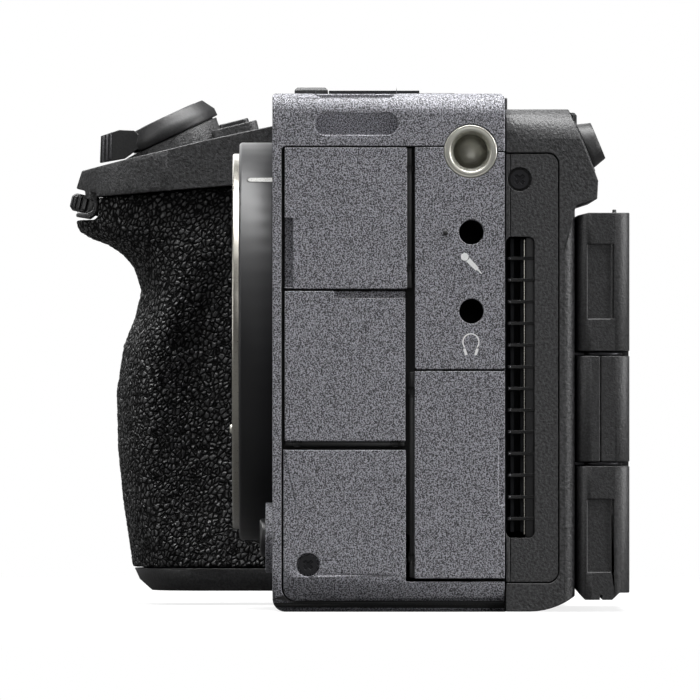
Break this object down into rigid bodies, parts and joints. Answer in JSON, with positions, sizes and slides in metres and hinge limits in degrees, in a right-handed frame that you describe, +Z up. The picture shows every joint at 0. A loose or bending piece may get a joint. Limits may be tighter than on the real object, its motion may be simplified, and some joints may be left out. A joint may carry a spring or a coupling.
{
  "type": "cinema camera",
  "caption": "Box-shaped cinema camera body with a pebbled hand grip, bayonet lens mount, port doors, side vent and swing-out monitor.",
  "frame": {"origin": "centre of the bounding box in plan, on the plane that the base stands on", "axes": "+Z up, -Y the way the lens looks, +X the port side, -X the grip side"},
  "size_m": [0.1298, 0.0854, 0.0791],
  "materials": {
    "grey_paint": "fine speckled dark grey paint on magnesium alloy",
    "black_paint": "fine grained matte black paint on magnesium alloy",
    "black_plastic": "fine spark-eroded matte black plastic",
    "black_buttons": "smooth satin black plastic",
    "grip_rubber": "pebbled black elastomer",
    "mount_black": "satin black anodised",
    "bright_steel": "turned stainless steel",
    "black_steel": "black oxide",
    "alloy": "cast and milled alloy",
    "circuit_board": "green solder mask on glass fibre",
    "sensor": "silicon sensor in a dark frame",
    "sensor_filter": "coated filter glass",
    "screen": "dark glass over a display"
  },
  "bodies": {
    "body": {"accessory_shoe": "black_steel", "audio_jacks": "black_plastic", "battery": "black_plastic", "battery_chamber": "black_plastic", "bottom_plate": "black_paint", "card_slots": "black_plastic", "case_screws": "black_steel", "chassis_frame": "alloy", "data_sockets": "bright_steel", "fan_housing": "black_plastic", "front_casing": "grey_paint", "grip_base_cap": "black_plastic", "grip_cover": "grip_rubber", "grip_top_shell": "black_paint", "heat_sink": "alloy", "jack_panel": "grey_paint", "lens_contacts": "black_plastic", "lower_side_panel": "grey_paint", "main_board": "circuit_board", "monitor_hinge_fork": "black_steel", "mount_barrel": "mount_black", "mount_ring": "bright_steel", "rear_casing": "black_paint", "sensor_glass": "sensor_filter", "sensor_unit": "sensor", "side_casing": "grey_paint", "tally_lamp": "black_plastic", "thread_inserts": "bright_steel", "thumb_rest": "grip_rubber", "top_cover": "grey_paint", "tripod_insert": "bright_steel", "vent_cover": "black_paint", "video_socket": "bright_steel"},
    "monitor": {"monitor_arm": "black_plastic", "monitor_case": "black_plastic", "monitor_screen": "screen", "monitor_shaft": "bright_steel"},
    "upper_door": {"upper_port_door": "grey_paint"},
    "middle_door": {"video_door": "grey_paint"},
    "lower_door": {"lower_port_door": "grey_paint"},
    "zoom": {"zoom_lever": "black_plastic"},
    "record": {"record_button": "black_buttons"},
    "front_wheel": {"front_dial": "black_buttons"},
    "rear_wheel": {"rear_dial": "black_buttons"},
    "power": {"power_switch": "black_buttons"},
    "stick_ring": {"joystick_gimbal": "black_buttons"},
    "stick": {"joystick": "black_buttons"},
    "wheel": {"control_wheel": "black_buttons"},
    "centre": {"centre_button": "black_buttons"},
    "release": {"lens_release_button": "black_buttons"},
    "lock": {"lens_lock_pin": "bright_steel"},
    "battery_lid": {"battery_door": "black_plastic"},
    "card_lid": {"card_door": "black_plastic"},
    "fan": {"fan_rotor": "black_plastic"},
    "iso": {"iso_button": "black_buttons"},
    "white_balance": {"white_balance_button": "black_buttons"},
    "iris": {"iris_button": "black_buttons"},
    "menu": {"menu_button": "black_buttons"},
    "function": {"function_button": "black_buttons"},
    "playback": {"playback_button": "black_buttons"}
  },
  "joints": [
    {"name": "monitor_swing", "type": "hinge", "parent": "body", "child": "monitor", "pos_m": [0.0614, 0.0386, 0.0305], "axis": [0, 0, -1], "range_deg": [0, 176]},
    {"name": "upper_door_hinge", "type": "hinge", "parent": "body", "child": "upper_door", "pos_m": [0.0643, 0.00955, 0.059], "axis": [0, 0, 1], "range_deg": [0, 90]},
    {"name": "middle_door_hinge", "type": "hinge", "parent": "body", "child": "middle_door", "pos_m": [0.0643, 0, 0.0252], "axis": [0, 1, 0], "range_deg": [0, 90]},
    {"name": "lower_door_hinge", "type": "hinge", "parent": "body", "child": "lower_door", "pos_m": [0.0643, 0.0099, 0.0206], "axis": [0, 0, -1], "range_deg": [0, 88]},
    {"name": "zoom_turn", "type": "hinge", "parent": "body", "child": "zoom", "pos_m": [-0.046, -0.0263, 0.07257], "axis": [0, -0.4226, 0.9063], "range_deg": [-18, 18], "stiffness_Nm_per_rad": 0.02},
    {"name": "record_press", "type": "slide", "parent": "zoom", "child": "record", "axis": [0, 0.4226, -0.9063], "range_m": [0, 0.0008], "stiffness_N_per_m": 700},
    {"name": "front_dial_turn", "type": "hinge", "parent": "body", "child": "front_wheel", "pos_m": [-0.046, -0.0362, 0.0609], "axis": [0, 0.2215, 0.9751], "continuous": true},
    {"name": "rear_dial_turn", "type": "hinge", "parent": "body", "child": "rear_wheel", "pos_m": [-0.046, 0.0274, 0.07435], "axis": [0, 0, 1], "continuous": true},
    {"name": "power_turn", "type": "hinge", "parent": "body", "child": "power", "pos_m": [0.047, 0.03574, 0.06992], "axis": [0, 0.9212, 0.3891], "range_deg": [0, 55]},
    {"name": "stick_tilt_up_down", "type": "hinge", "parent": "body", "child": "stick_ring", "pos_m": [-0.026, 0.0306, 0.0525], "axis": [1, 0, 0], "range_deg": [-8, 8], "stiffness_Nm_per_rad": 0.02},
    {"name": "stick_tilt_sideways", "type": "hinge", "parent": "stick_ring", "child": "stick", "pos_m": [-0.026, 0.0306, 0.0525], "axis": [0, 0, 1], "range_deg": [-8, 8], "stiffness_Nm_per_rad": 0.02},
    {"name": "wheel_turn", "type": "hinge", "parent": "body", "child": "wheel", "pos_m": [-0.038, 0.0345, 0.031], "axis": [0, 1, 0], "continuous": true},
    {"name": "centre_press", "type": "slide", "parent": "body", "child": "centre", "axis": [0, -1, 0], "range_m": [0, 0.0004], "stiffness_N_per_m": 900},
    {"name": "release_press", "type": "slide", "parent": "body", "child": "release", "axis": [0, 1, 0], "range_m": [0, 0.0011], "stiffness_N_per_m": 900},
    {"name": "lock_pin_slide", "type": "slide", "parent": "body", "child": "lock", "axis": [0, 1, 0], "range_m": [0, 0.0011]},
    {"name": "battery_door_hinge", "type": "hinge", "parent": "body", "child": "battery_lid", "pos_m": [-0.0378, -0.0022, 0.0029], "axis": [0, -1, 0], "range_deg": [0, 95]},
    {"name": "card_door_hinge", "type": "hinge", "parent": "body", "child": "card_lid", "pos_m": [-0.0616, 0.031, 0.041], "axis": [0, 0, -1], "range_deg": [0, 90]},
    {"name": "fan_spin", "type": "hinge", "parent": "body", "child": "fan", "pos_m": [0.028, 0.015, 0.038], "axis": [0, 1, 0], "continuous": true},
    {"name": "iso_press", "type": "slide", "parent": "body", "child": "iso", "axis": [0, 0.2419, -0.9703], "range_m": [0, 0.0005], "stiffness_N_per_m": 900},
    {"name": "white_balance_press", "type": "slide", "parent": "body", "child": "white_balance", "axis": [0, 0.2419, -0.9703], "range_m": [0, 0.0005], "stiffness_N_per_m": 900},
    {"name": "iris_press", "type": "slide", "parent": "body", "child": "iris", "axis": [0, 0.2419, -0.9703], "range_m": [0, 0.0005], "stiffness_N_per_m": 900},
    {"name": "menu_press", "type": "slide", "parent": "body", "child": "menu", "axis": [0, -0.9212, -0.3891], "range_m": [0, 0.0005], "stiffness_N_per_m": 900},
    {"name": "function_press", "type": "slide", "parent": "body", "child": "function", "axis": [0, -1, 0], "range_m": [0, 0.0005], "stiffness_N_per_m": 900},
    {"name": "playback_press", "type": "slide", "parent": "body", "child": "playback", "axis": [0, -1, 0], "range_m": [0, 0.0005], "stiffness_N_per_m": 900}
  ],
  "couplings": [
    {"joint": "lock_pin_slide", "follows": "release_press", "ratio": 0.9}
  ]
}
